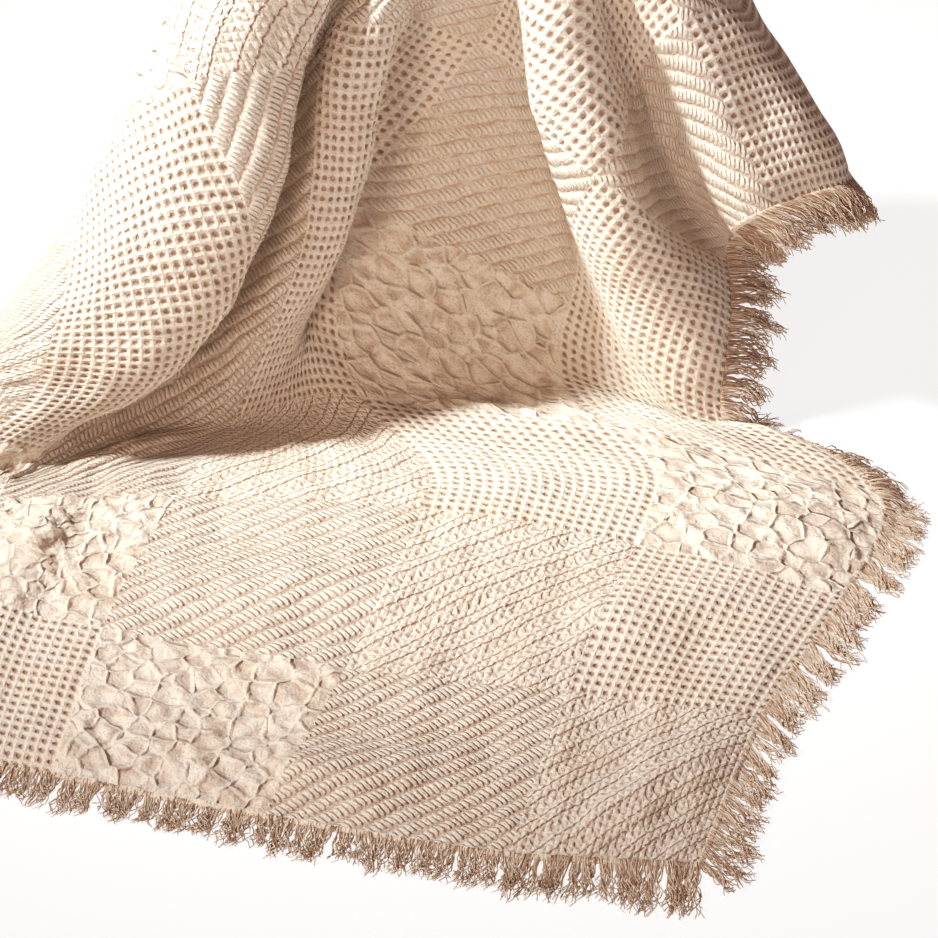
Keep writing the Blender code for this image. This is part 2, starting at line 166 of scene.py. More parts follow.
# The squares woven in the cloth, inside a narrow border whose outermost part is plain.
BORDER = 0.01
HEM = 0.004
EDGE_SQUARE = 0.18
SQUARE = 0.20
HONEYCOMB = 0.010
GRID_STEP = HONEYCOMB / 2
WEAVE_NAMES = ("ripple", "rib", "blister", "waffle", "plain")
RIPPLE, RIB, BLISTER, WAFFLE, PLAIN = range(len(WEAVE_NAMES))

# The weave of each square: a row per line of squares from the front, each from the right.
WEAVES = (
    (RIPPLE, RIB, BLISTER, WAFFLE, RIPPLE, RIB),
    (WAFFLE, RIPPLE, RIB, BLISTER, WAFFLE, RIPPLE),
    (BLISTER, WAFFLE, RIPPLE, RIB, BLISTER, WAFFLE),
    (WAFFLE, BLISTER, WAFFLE, RIB, WAFFLE, RIPPLE),
    (WAFFLE, RIB, WAFFLE, RIB, WAFFLE, RIB),
    (RIB, WAFFLE, RIB, RIPPLE, BLISTER, WAFFLE),
    (WAFFLE, RIB, RIPPLE, WAFFLE, RIB, BLISTER),
)

# The relief that is in the mesh, in metres.  Every weave but the honeycomb runs along the
# diagonals of its square: PITCH is the spacing of its lines, RISE their height.
WAFFLE_RISE = 0.0012
WAFFLE_PIT = 0.0030
BLISTER_PITCH = 0.0333
BLISTER_RISE = 0.0050
BLISTER_LEAST = 0.001
BLISTER_FOOT = 0.001
BLISTER_POINT = 1.6
BLISTER_ROUND = 0.05
RIPPLE_PITCH = 0.04
RIPPLE_RISE = 0.0012
RIB_PITCH = 0.02
RIB_RISE = 0.0006
WRINKLE_RISE = 0.0025

# Unevenness of the cloth: its height or its shift, its size, and the seed of its noise.
STRAY_A = (0.006, 0.08, 1)
STRAY_V = (0.006, 0.08, 2)
STRAY_ROW = (0.004, 0.05, 11)
STRAY_CROSS = (0.006, 0.11, 4)
BLISTER_SIZES = (0.0020, 0.05, 3)
BLISTER_ROUGH = (0.0007, 0.022, 6)
RIPPLE_ROUGH = (0.0007, 0.03, 7)
RIB_ROUGH = (0.0008, 0.03, 8)
WIDE_WRINKLES = (0.0020, 0.10, 9)
FINE_WRINKLES = (0.0012, 0.05, 10)

# Over how much of the cloth the relief fades out at the edge of a square, and the
# wrinkles at the hem.
RELIEF_FADE = 0.006
WRINKLE_FADE = 0.035

# The stitches that are in the materials: the spacing of the ripple's dashes and holes, of
# its second line from the first, of its fine weave, and of the rib's nubs.
RIPPLE_DASH = 0.012
RIPPLE_HOLE = 0.0135
RIPPLE_PAIR = 0.014
RIPPLE_FINE = 0.0066
RIB_NUB = 0.0068
# Cells of the blister's net per metre, and how irregular they are.
BLISTER_NET = 44.0
BLISTER_CHANCE = 0.75

# The fringe.
YARN_PITCH = 0.0007
YARN_RADIUS = 0.00062
YARN_POINTS = 11
YARN_SIDES = 4
YARN_TAPER = 0.35
LOCK_PITCH = 0.013
# How far inside the edge a yarn starts, and the length of texture that each of its
# parts shows.
YARN_ROOT = 0.004
YARN_TEXTURE = 0.006

# How the yarns of each edge lie: place along the edge, length, swing along the edge in
# radians, lift, how far the yarns of a lock draw together, and how far they lean to +X.
YARN_LAYS = {
    "front": (
        (0.00, 0.052, 0.10, 0.00, 0.65, 0.0), (0.14, 0.046, 0.05, 0.00, 0.40, 0.0),
        (0.26, 0.038, 0.00, 0.00, 0.20, 0.0), (1.18, 0.038, 0.00, 0.00, 0.20, 0.0),
    ),
    "right": (
        (0.00, 0.044, -0.50, 0.05, 0.35, 0.0), (0.50, 0.044, -0.60, 0.05, 0.30, 0.0),
        (0.72, 0.048, -0.40, 0.10, 0.30, 0.0), (0.80, 0.048, 0.00, 0.10, 0.40, 1.0),
        (0.93, 0.054, 0.40, 0.10, 0.35, 2.2), (1.20, 0.054, 0.60, 0.20, 0.35, 2.2),
        (1.38, 0.046, 0.00, 0.00, 0.50, 0.0),
    ),
    "back": ((0.00, 0.046, 0.0, 0.0, 0.60, 0.0), (1.18, 0.046, 0.0, 0.0, 0.60, 0.0)),
    "left": ((0.00, 0.046, 0.0, 0.1, 0.60, 0.0), (1.38, 0.046, 0.0, 0.0, 0.60, 0.0)),
}


def smooth(value, low, high):
    """Ease from 0 at low to 1 at high."""
    t = np.clip((value - low) / (high - low), 0.0, 1.0)
    return t * t * (3.0 - 2.0 * t)


def carried_on(knots):
    """The knots with one more at each end, at the end's own distance."""
    return (2 * knots[0] - knots[1],) + tuple(knots) + (2 * knots[-1] - knots[-2],)


def spline_weights(knots, place):
    """Catmull-Rom weights of each knot at each place, for knots at uneven distances."""
    knots = np.asarray(knots)
    place = np.asarray(place)
    index = np.clip(np.searchsorted(knots, place) - 1, 1, len(knots) - 3)
    k0 = knots[index - 1]
    k1 = knots[index]
    k2 = knots[index + 1]
    k3 = knots[index + 2]
    step = k2 - k1
    t = (place - k1) / step
    rise = t ** 3 - 2 * t ** 2 + t
    fall = t ** 3 - t ** 2
    start = 2 * t ** 3 - 3 * t ** 2 + 1
    # The slopes are those of the parabola through each knot and its two neighbours.
    d01 = k1 - k0
    d12 = step
    d23 = k3 - k2
    m1 = (-d12 / (d01 * (d01 + d12)), (d12 - d01) / (d01 * d12), d01 / (d12 * (d01 + d12)))
    m2 = (-d23 / (d12 * (d12 + d23)), (d23 - d12) / (d12 * d23), d12 / (d23 * (d12 + d23)))
    w0 = rise * step * m1[0]
    w1 = start + rise * step * m1[1] + fall * step * m2[0]
    w2 = (1 - start) + rise * step * m1[2] + fall * step * m2[1]
    w3 = fall * step * m2[2]
    return index, (w0, w1, w2, w3)


def fold_net():
    """Positions of every fold line at every station, the height from the cloth's length."""
    rows = sorted(FOLDS)
    turns = [row[0] for row in rows]
    net = np.zeros((len(rows), len(STATIONS) + 1, 3))
    for i, row in enumerate(rows):
        net[i, 0] = APEX
        for j in range(len(STATIONS)):
            reach = STATIONS[j] - (STATIONS[j - 1] if j else 0.0)
            x, y = row[1 + 2 * j], row[2 + 2 * j]
            plan = math.hypot(x - net[i, j, 0], y - net[i, j, 1])
            drop = math.sqrt(max(reach ** 2 - plan ** 2, 0.0))
            net[i, j + 1] = (x, y, net[i, j, 2] - drop)
    # Wrap the rows round, so that the spline runs on past both ends.
    turns = [t - 360.0 for t in turns[-3:]] + turns + [t + 360.0 for t in turns[:3]]
    net = np.concatenate([net[-3:], net, net[:3]])
    return np.radians(turns), net


def hanging(a, v):
    """The cloth as it hangs from the hold."""
    turns, net = fold_net()
    across = HOLD_A - a
    along = v - HOLD_V
    rho = np.hypot(across, along)
    theta = np.arctan2(along, across)
    row, row_w = spline_weights(turns, theta)
    # Past the apex the fold lines run on level, which rounds the top off.
    stations = carried_on((0.0,) + STATIONS)
    before = 2 * net[:, :1] - net[:, 1:2]
    before[:, :, 2] = net[:, 1:2, 2]
    after = 2 * net[:, -1:] - net[:, -2:-1]
    net = np.concatenate([before, net, after], axis=1)
    col, col_w = spline_weights(stations, np.minimum(rho, FOLD_END))
    point = np.zeros(np.shape(a) + (3,))
    for i in range(4):
        for j in range(4):
            point += (row_w[i] * col_w[j])[..., None] * net[row + i - 1, col + j - 1]
    return point, rho, theta


def landing(a, v):
    """The cloth as it lies on the floor."""
    net = np.array(LANDING)
    net = np.concatenate([2 * net[:, :1] - net[:, 1:2], net, 2 * net[:, -1:] - net[:, -2:-1]], axis=1)
    net = np.concatenate([2 * net[:1] - net[1:2], net, 2 * net[-1:] - net[-2:-1]])
    row, row_w = spline_weights(carried_on(LANDING_V), np.minimum(v, LANDING_END))
    col, col_w = spline_weights(carried_on(LANDING_A), a)
    point = np.zeros(np.shape(a) + (3,))
    point[..., 2] = -EASE
    for i in range(4):
        for j in range(4):
            point[..., :2] += (row_w[i] * col_w[j])[..., None] * net[row + i - 1, col + j - 1]
    return point


def swell_height(a, v):
    """How far the swells lift the cloth that lies on the floor."""
    height = np.zeros(np.shape(a))
    for (mid_a, mid_v, along, across, turn, rise) in SWELLS:
        c, s = math.cos(math.radians(turn)), math.sin(math.radians(turn))
        p = (mid_a - a) * c + (v - mid_v) * s
        q = (v - mid_v) * c - (mid_a - a) * s
        bump = np.exp(-(p / along) ** 2 - (q / across) ** 2)
        height += rise * np.maximum(bump - SWELL_FOOT, 0.0) ** SWELL_POINT
    return height


def drape(a, v):
    """The middle of the cloth's thickness, in the room, at places on the cloth."""
    a, v = np.broadcast_arrays(np.asarray(a, float), np.asarray(v, float))
    point, rho, theta = hanging(a, v)
    flat = landing(a, v)
    turn = np.degrees(theta)
    start = LIE_START + LIE_LEFT * smooth(-turn, *LEFT_TURNS)
    lies = smooth(rho - start, 0.0, LIE_BLEND) * smooth(-turn, *RIGHT_TURNS)
    point = point + (flat - point) * lies[..., None]
    # The cloth rests on the floor where it would fall below it.
    low = point[..., 2]
    eased = (low + EASE) ** 2 / (4 * EASE)
    point[..., 2] = np.where(low > EASE, low, np.where(low < -EASE, 0.0, eased))
    point[..., 2] += THICK / 2 + swell_height(a, v) * np.minimum(lies * SWELL_BLEND, 1.0)
    return point


def drape_frame(a, v, step=EDGE_STEP):
    """The drape and its upward normals."""
    point = drape(a, v)
    to_left = drape(a + step, v) - drape(a - step, v)
    to_back = drape(a, v + step) - drape(a, v - step)
    up = np.cross(to_back, to_left)
    up /= np.linalg.norm(up, axis=-1, keepdims=True)
    return point, up


def square_lines(size):
    """Where the lines between the woven squares cross one side of the cloth."""
    lines = [0.0, BORDER, BORDER + EDGE_SQUARE]
    while lines[-1] < size - BORDER - EDGE_SQUARE - SQUARE / 2:
        lines.append(lines[-1] + SQUARE)
    return np.array(lines + [size - BORDER, size])


def weave_kind(a, v):
    """Which weave stands at each place, and how far it is from the edge of its square."""
    lines_a = square_lines(WIDTH)
    lines_v = square_lines(LENGTH)
    col = np.clip(np.searchsorted(lines_a, a, side="right") - 1, 0, len(lines_a) - 2)
    row = np.clip(np.searchsorted(lines_v, v, side="right") - 1, 0, len(lines_v) - 2)
    weaves = np.array(WEAVES)
    kind = weaves[np.clip(row - 1, 0, len(weaves) - 1), np.clip(col - 1, 0, len(weaves[0]) - 1)]
    kind = np.where(from_rim(a, v) < HEM, PLAIN, kind)
    inside = np.minimum.reduce([
        a - lines_a[col], lines_a[col + 1] - a, v - lines_v[row], lines_v[row + 1] - v,
    ])
    return kind, inside


def from_rim(a, v):
    """Distance from the cloth's nearest edge."""
    return np.minimum.reduce([a, WIDTH - a, v, LENGTH - v])


def soft_noise(a, v, unevenness):
    """Smooth noise over the cloth, of one row of the unevenness above, from a few turned waves."""
    height, scale, seed = unevenness
    chance = np.random.default_rng(seed)
    total = np.zeros(np.shape(a))
    for _ in range(7):
        turn = chance.uniform(0.0, math.pi)
        size = scale * chance.uniform(0.7, 1.6)
        phase = chance.uniform(0.0, 2 * math.pi)
        total += np.sin(2 * math.pi * (a * math.cos(turn) + v * math.sin(turn)) / size + phase)
    return height * (total / 4.0)


def relief(a, v):
    """Height of the woven relief and the soft wrinkles above the cloth's face."""
    kind, inside = weave_kind(a, v)
    warp_a = a + soft_noise(a, v, STRAY_A)
    warp_v = v + soft_noise(a, v, STRAY_V)
    row = warp_a + warp_v + soft_noise(a, v, STRAY_ROW)
    pit = (
        np.sin(math.pi * (a - BORDER) / HONEYCOMB) ** 2
        * np.sin(math.pi * (v - BORDER) / HONEYCOMB) ** 2
    )
    waffle = WAFFLE_RISE - WAFFLE_PIT * pit
    # Each blister is a round cell between two sets of diagonal lines.
    p = row / BLISTER_PITCH
    q = (warp_v - warp_a + soft_noise(a, v, STRAY_CROSS)) / BLISTER_PITCH
    cell = np.sqrt(
        (np.cos(math.pi * p) ** 2 + BLISTER_ROUND) * (np.cos(math.pi * q) ** 2 + BLISTER_ROUND)
    )
    size = BLISTER_RISE + soft_noise(a, v, BLISTER_SIZES)
    crown = (1.0 + BLISTER_ROUND - cell) ** BLISTER_POINT
    blister = np.maximum(size, BLISTER_LEAST) * crown - BLISTER_FOOT + soft_noise(a, v, BLISTER_ROUGH)
    ripple = RIPPLE_RISE * np.sin(2 * math.pi * row / RIPPLE_PITCH) + soft_noise(a, v, RIPPLE_ROUGH)
    rib = RIB_RISE * np.abs(np.sin(math.pi * row / RIB_PITCH)) + soft_noise(a, v, RIB_ROUGH)
    height = np.select(
        [kind == RIPPLE, kind == RIB, kind == BLISTER, kind == WAFFLE], [ripple, rib, blister, waffle]
    )
    wrinkle = soft_noise(a, v, WIDE_WRINKLES) + soft_noise(a, v, FINE_WRINKLES)
    return (
        height * smooth(inside, 0.0, RELIEF_FADE)
        + (wrinkle + WRINKLE_RISE) * smooth(from_rim(a, v), 0.0, WRINKLE_FADE)
    )


def new_material(name):
    """A material with a bare Principled shader, its tree and the shader."""
    material = bpy.data.materials.new(name)
    material.use_nodes = True
    tree = material.node_tree
    return material, tree, tree.nodes["Principled BSDF"]


class Sums:
    """Short forms for the nodes of one material."""

    def __init__(self, tree):
        self.tree = tree

    def layer(self, name):
        """Places in one UV layer of the mesh."""
        node = self.tree.nodes.new("ShaderNodeUVMap")
        node.uv_map = name
        return node.outputs[0]

    def parts(self, vector):
        """The x and y of a vector."""
        node = self.tree.nodes.new("ShaderNodeSeparateXYZ")
        self.tree.links.new(vector, node.inputs[0])
        return node.outputs[0], node.outputs[1]

    def bump(self, shader, height, strength, distance):
        """Let the shader's normal follow a height."""
        node = self.tree.nodes.new("ShaderNodeBump")
        node.inputs["Strength"].default_value = strength
        node.inputs["Distance"].default_value = distance
        self.tree.links.new(height, node.inputs["Height"])
        self.tree.links.new(node.outputs[0], shader.inputs["Normal"])

    def feed(self, socket, value):
        """Set a socket to a number, or link another socket to it."""
        if isinstance(value, (int, float)):
            socket.default_value = value
        else:
            self.tree.links.new(value, socket)

    def math(self, operation, *values):
        """One math node, of numbers or sockets."""
        node = self.tree.nodes.new("ShaderNodeMath")
        node.operation = operation
        for socket, value in zip(node.inputs, values):
            self.feed(socket, value)
        return node.outputs[0]

    def add(self, x, y):
        return self.math("ADD", x, y)

    def times(self, x, y):
        return self.math("MULTIPLY", x, y)

    def wave(self, x, period):
        """The size of half a sine: 0 at each whole period, 1 between."""
        return self.math("ABSOLUTE", self.math("SINE", self.times(x, math.pi / period)))

    def ramp(self, x, low, high):
        """Ease from 0 at low to 1 at high."""
        node = self.tree.nodes.new("ShaderNodeMapRange")
        node.interpolation_type = "SMOOTHSTEP"
        self.feed(node.inputs["Value"], x)
        node.inputs["From Min"].default_value = low
        node.inputs["From Max"].default_value = high
        return node.outputs[0]

    def noise(self, vector, scale, detail=1.0):
        """Noise between 0 and 1, with scale in waves per metre."""
        node = self.tree.nodes.new("ShaderNodeTexNoise")
        node.inputs["Scale"].default_value = scale
        node.inputs["Detail"].default_value = detail
        self.tree.links.new(vector, node.inputs["Vector"])
        return node.outputs["Fac"]

    def cells(self, vector, scale, chance):
        """Distance to the nearest edge of irregular cells, in cells."""
        node = self.tree.nodes.new("ShaderNodeTexVoronoi")
        node.feature = "DISTANCE_TO_EDGE"
        node.inputs["Scale"].default_value = scale
        node.inputs["Randomness"].default_value = chance
        self.tree.links.new(vector, node.inputs["Vector"])
        return node.outputs["Distance"]

    def mix(self, share, first, second):
        """Blend two colours; each is a tuple or a socket."""
        node = self.tree.nodes.new("ShaderNodeMix")
        node.data_type = "RGBA"
        self.feed(node.inputs["Factor"], share)
        for socket, value in ((node.inputs[6], first), (node.inputs[7], second)):
            if isinstance(value, tuple):
                socket.default_value = value
            else:
                self.tree.links.new(value, socket)
        return node.outputs[2]


# The cotton's colours: the cloth's own and a deeper one, a painted shade for the gaps, pits and
# grooves, and the yarns' pale colour and a dark brown that is painted shade scattered among them.
CREAM = (0.90, 0.85, 0.76, 1.0)
CREAM_DEEP = (0.87, 0.79, 0.68, 1.0)
SHADE = (0.42, 0.25, 0.16, 1.0)
YARN_PALE = (0.89, 0.81, 0.69, 1.0)
YARN_PAINTED_SHADE = (0.44, 0.30, 0.22, 1.0)


def waffle_heights(sums, a, v, patchy):
    """Honeycomb: square pits with a hole in the middle of each."""
    pit = sums.times(
        sums.wave(sums.add(a, -BORDER), HONEYCOMB), sums.wave(sums.add(v, -BORDER), HONEYCOMB)
    )
    hole = sums.ramp(pit, 0.55, 1.00)
    height = sums.add(sums.times(pit, -0.0016), sums.times(hole, -0.0014))
    # The holes of the pits are darkened with painted shade.
    return height, sums.times(hole, sums.add(0.60, sums.times(patchy, 0.30)))


def blister_heights(sums, place, patchy):
    """Blister weave: a puckered ground in an irregular net of ridges."""
    rim = sums.cells(place, BLISTER_NET, BLISTER_CHANCE)
    ridge = sums.ramp(sums.add(rim, sums.times(sums.noise(place, 110.0), 0.10)), 0.20, 0.05)
    foot = sums.times(sums.ramp(rim, 0.06, 0.16), sums.ramp(rim, 0.34, 0.16))
    pucker = sums.noise(place, 90.0, 2.0)
    crest = sums.times(ridge, sums.add(0.0014, sums.times(patchy, 0.0018)))
    height = sums.add(sums.times(pucker, 0.0018), crest)
    # The feet of the ridges are darkened with painted shade.
    return height, sums.times(foot, sums.add(0.05, sums.times(patchy, 0.36)))


def ripple_heights(sums, a, v, row, across):
    """Ripple weave: pairs of swaying dashed lines, a row of holes and a fine ground."""
    sway = sums.times(sums.math("SINE", sums.times(across, 2 * math.pi / RIPPLE_PAIR)), 0.0005)
    first = sums.ramp(sums.wave(sums.add(row, sway), RIPPLE_PITCH), 0.14, 0.03)
    second = sums.add(row, sums.add(sway, -RIPPLE_PAIR))
    second = sums.ramp(sums.wave(second, RIPPLE_PITCH), 0.14, 0.03)
    dash = sums.ramp(sums.wave(across, RIPPLE_DASH), 0.15, 0.45)
    gap_and_painted_shade = sums.times(sums.math("MAXIMUM", first, second), sums.add(0.25, sums.times(dash, 0.75)))
    band = sums.ramp(sums.wave(sums.add(row, -RIPPLE_PAIR / 2), RIPPLE_PITCH), 0.80, 1.0)
    hole = sums.times(band, sums.ramp(sums.wave(across, RIPPLE_HOLE), 0.75, 1.0))
    fine = sums.times(sums.wave(a, RIPPLE_FINE), sums.wave(v, RIPPLE_FINE))
    height = sums.add(sums.times(gap_and_painted_shade, -0.0011), sums.times(fine, 0.0012))
    height = sums.add(height, sums.times(hole, -0.0010))
    # The dashed lines and the holes are darkened with painted shade.
    return height, sums.add(sums.times(gap_and_painted_shade, 0.75), sums.times(hole, 0.38))


def rib_heights(sums, place, row, even, patchy):
    """Rib weave: rows of slanted nubs, with painted shade in the grooves between the rows and between
    the nubs.
    """
    line = sums.wave(row, RIB_PITCH)
    nub = sums.wave(sums.add(even, sums.times(row, 0.25)), RIB_NUB)
    bead = sums.ramp(sums.times(line, nub), 0.10, 0.85)
    bead = sums.times(bead, sums.add(0.4, sums.noise(place, 130.0)))
    gap_and_painted_shade = sums.times(sums.ramp(line, 0.50, 0.0), 0.6)
    gap_and_painted_shade = sums.add(gap_and_painted_shade, sums.times(sums.ramp(nub, 0.35, 0.0), 0.4))
    height = sums.add(sums.times(bead, 0.0018), sums.times(line, 0.0017))
    return height, sums.times(gap_and_painted_shade, sums.add(0.48, sums.times(patchy, 0.45)))


def weave_heights(sums, place, kind):
    """Bump height in metres, and the share of painted shade in the gaps between the yarns, for one
    weave.
    """
    a, v = sums.parts(place)
    stray_a = sums.times(sums.add(sums.noise(place, 13.0), -0.5), 0.014)
    stray_v = sums.times(sums.add(sums.noise(place, 75.0), -0.5), 0.015)
    jitter = sums.times(sums.add(sums.noise(place, 190.0), -0.5), 0.0026)
    a, v = sums.add(a, jitter), sums.add(v, jitter)
    row = sums.add(sums.add(a, v), stray_a)
    across = sums.add(sums.math("SUBTRACT", v, a), stray_v)
    patchy = sums.ramp(sums.noise(place, 55.0), 0.38, 0.62)
    if kind == WAFFLE:
        return waffle_heights(sums, a, v, patchy)
    if kind == BLISTER:
        return blister_heights(sums, place, patchy)
    if kind == RIPPLE:
        return ripple_heights(sums, a, v, row, across)
    if kind == RIB:
        even = sums.math("SUBTRACT", across, sums.times(stray_v, 0.7))
        return rib_heights(sums, place, row, even, patchy)
    return sums.times(sums.noise(place, 260.0), 0.0012), sums.times(patchy, 0.05)


def cloth_material(name, kind):
    """Woven cotton of one kind: its relief as bump, painted shade in its gaps and a mottled cream."""
    material, tree, shader = new_material(name)
    sums = Sums(tree)
    place = sums.layer("flat")
    height, gap_and_painted_shade = weave_heights(sums, place, kind)
    grain = sums.noise(place, 420.0, 2.0)
    crumple = sums.noise(place, 45.0, 2.0)
    patch = sums.noise(place, 14.0, 2.0)
    height = sums.add(height, sums.add(sums.times(grain, 0.0012), sums.times(crumple, 0.0030)))
    sums.bump(shader, height, 1.0, 1.0)
    colour = sums.mix(sums.ramp(patch, 0.40, 0.80), CREAM, CREAM_DEEP)
    # Darker towards the shade colour where the fine grain's bump is low.
    colour = sums.mix(sums.times(sums.ramp(grain, 0.52, 0.28), 0.30), colour, SHADE)
    # Painted shade in the gaps, pits and grooves of the weave.
    colour = sums.mix(gap_and_painted_shade, colour, SHADE)
    tree.links.new(colour, shader.inputs["Base Color"])
    shader.inputs["Roughness"].default_value = 0.95
    shader.inputs["Specular IOR Level"].default_value = 0.15
    shader.inputs["Sheen Weight"].default_value = 0.10
    shader.inputs["Sheen Roughness"].default_value = 0.5
    return material


def yarn_material():
    """Loose cotton yarn: plied bump along it with painted shade in its grooves, and some yarns, picked
    at random, painted dark brown to stand in for the shade between the yarns.
    """
    material, tree, shader = new_material("fringe_yarn")
    sums = Sums(tree)
    place = sums.layer("yarn")
    round_it, along_it = sums.parts(place)
    ply = sums.wave(sums.add(round_it, sums.times(along_it, 220.0)), 0.5)
    sums.bump(shader, ply, 0.6, 0.0005)
    grain = sums.noise(place, 60.0)
    painted_shade_pick = sums.add(sums.noise(place, 2.5, 0.0), sums.times(grain, 0.2))
    # Yarns picked at random take a dark brown that is painted shade between the yarns.
    colour = sums.mix(sums.ramp(painted_shade_pick, 0.56, 0.74), YARN_PALE, YARN_PAINTED_SHADE)
    # Painted shade in the grooves between the plies.
    colour = sums.mix(sums.times(sums.ramp(ply, 0.4, 0.0), 0.35), colour, SHADE)
    tree.links.new(colour, shader.inputs["Base Color"])
    shader.inputs["Roughness"].default_value = 0.9
    shader.inputs["Specular IOR Level"].default_value = 0.2
    return material


def add_mesh(name, vertices, faces):
    """A new object in the scene, with its mesh."""
    mesh = bpy.data.meshes.new(name)
    mesh.from_pydata(vertices, [], faces)
    item = bpy.data.objects.new(name, mesh)
    bpy.context.scene.collection.objects.link(item)
    return item, mesh


def build_sheet():
    """The woven sheet, one face per half honeycomb cell, with its relief."""
    lines_a = np.arange(0.0, WIDTH + GRID_STEP / 2, GRID_STEP)
    lines_v = np.arange(0.0, LENGTH + GRID_STEP / 2, GRID_STEP)
    a, v = np.meshgrid(lines_a, lines_v)
    point, up = drape_frame(a, v)
    point = point + up * (THICK / 2 + relief(a, v))[..., None]
    # One more row and column all round turns the sheet's rim down to the cloth's underside.
    a, v = np.pad(a, 1, mode="edge"), np.pad(v, 1, mode="edge")
    under, up = drape_frame(a, v)
    under -= up * THICK / 2
    under[1:-1, 1:-1] = point
    point = under
    point[..., 2] = np.maximum(point[..., 2], FLOOR_ROOM)
    rows, cols = a.shape
    k = (np.arange(rows - 1)[:, None] * cols + np.arange(cols - 1)[None, :]).ravel()
    faces = np.stack([k, k + cols, k + cols + 1, k + 1], axis=1)
    sheet, mesh = add_mesh("throw_sheet", point.reshape(-1, 3).tolist(), faces.tolist())
    layer = mesh.uv_layers.new(name="flat")
    places = np.stack([a.ravel(), v.ravel()], axis=1)[faces.ravel()]
    layer.data.foreach_set("uv", places.astype(np.float32).ravel())
    for kind, name in enumerate(WEAVE_NAMES):
        mesh.materials.append(cloth_material("weave_" + name, kind))
    kind, _ = weave_kind((a[:-1, :-1] + a[1:, 1:]) / 2, (v[:-1, :-1] + v[1:, 1:]) / 2)
    mesh.polygons.foreach_set("material_index", kind.ravel().astype(np.int32))
    mesh.shade_smooth()
    mesh.update()
    return sheet


def edge_place(edge, s):
    """Places on the cloth at distances s along an edge."""
    if edge == "front":
        return s, np.zeros_like(s)
    if edge == "back":
        return s, np.full_like(s, LENGTH)
    if edge == "right":
        return np.zeros_like(s), s
    return np.full_like(s, WIDTH), s


def yarn_paths(edge, size, turn, seed):
    """Paths of the loose yarns along one edge: an array of yarn, point and coordinate."""
    chance = np.random.default_rng(seed)
    count = int(size / YARN_PITCH)
    s = (np.arange(count) + chance.uniform(0.1, 0.9, count)) * size / count
    # Each yarn belongs to a lock, whose yarns draw together towards their tips.
    lay = np.array(YARN_LAYS[edge])
    reach, bent, raised, drawn, aside = (np.interp(s, lay[:, 0], lay[:, k]) for k in range(1, 6))
    locks = int(size / LOCK_PITCH)
    uneven = np.concatenate([[0], chance.uniform(-0.3, 0.3, locks - 1), [0]])
    lines = (np.arange(locks + 1) + uneven) * size / locks
    lock = np.clip(np.searchsorted(lines, s) - 1, 0, locks - 1)
    middle = (lines[lock] + lines[lock + 1]) / 2
    a, v = edge_place(edge, s)
    root, up = drape_frame(a, v)
    a1, v1 = edge_place(edge, s + EDGE_STEP)
    a0, v0 = edge_place(edge, s - EDGE_STEP)
    along = drape(a1, v1) - drape(a0, v0)
    along /= np.linalg.norm(along, axis=1, keepdims=True)
    out = np.cross(along, up) * turn
    swing = bent + (0.08 + 0.20 * drawn) * chance.normal(0.0, 1.0, locks)[lock]
    swing = swing + chance.normal(0.0, 0.12, count)
    lift = raised + drawn * chance.uniform(-0.35, 0.40, locks)[lock] + chance.normal(0.0, 0.12, count)
    length = reach * chance.uniform(0.80, 1.12, locks)[lock] * chance.uniform(0.82, 1.08, count)
    step = (length / (YARN_POINTS - 1))[:, None]
    way = out + along * swing[:, None] + up * lift[:, None] + aside[:, None] * np.array((1.0, 0.0, 0.0))
    way /= np.linalg.norm(way, axis=1, keepdims=True)
    place = root + up * (THICK * chance.uniform(0.0, 0.9, count))[:, None] - out * YARN_ROOT
    pull = ((middle - s) * drawn / (YARN_POINTS - 1))[:, None]
    phase = chance.uniform(0.0, 2 * math.pi, count)
    turns = chance.uniform(1.0, 3.0, count)
    curl = chance.uniform(0.0015, 0.0050, count)
    rest = YARN_RADIUS * chance.uniform(1.0, 4.5, count)
    gravity = (chance.uniform(0.14, 0.22, count) / (1.0 + aside))[:, None]
    path = [place]
    for n in range(1, YARN_POINTS):
        way = way + np.array((0.0, 0.0, -1.0)) * gravity
        way /= np.linalg.norm(way, axis=1, keepdims=True)
        place = place + way * step + along * pull
        under = place[:, 2] < rest
        place[:, 2] = np.where(under, rest, place[:, 2])
        way[:, 2] = np.where(under, np.maximum(way[:, 2], 0.0), way[:, 2])
        share = n / (YARN_POINTS - 1)
        angle = phase + turns * 2 * math.pi * share
        wobble = along * np.cos(angle)[:, None] + up * np.sin(angle)[:, None]
        spot = place + wobble * (curl * share)[:, None]
        spot[:, 2] = np.maximum(spot[:, 2], YARN_RADIUS)
        path.append(spot)
    return np.stack(path, axis=1)


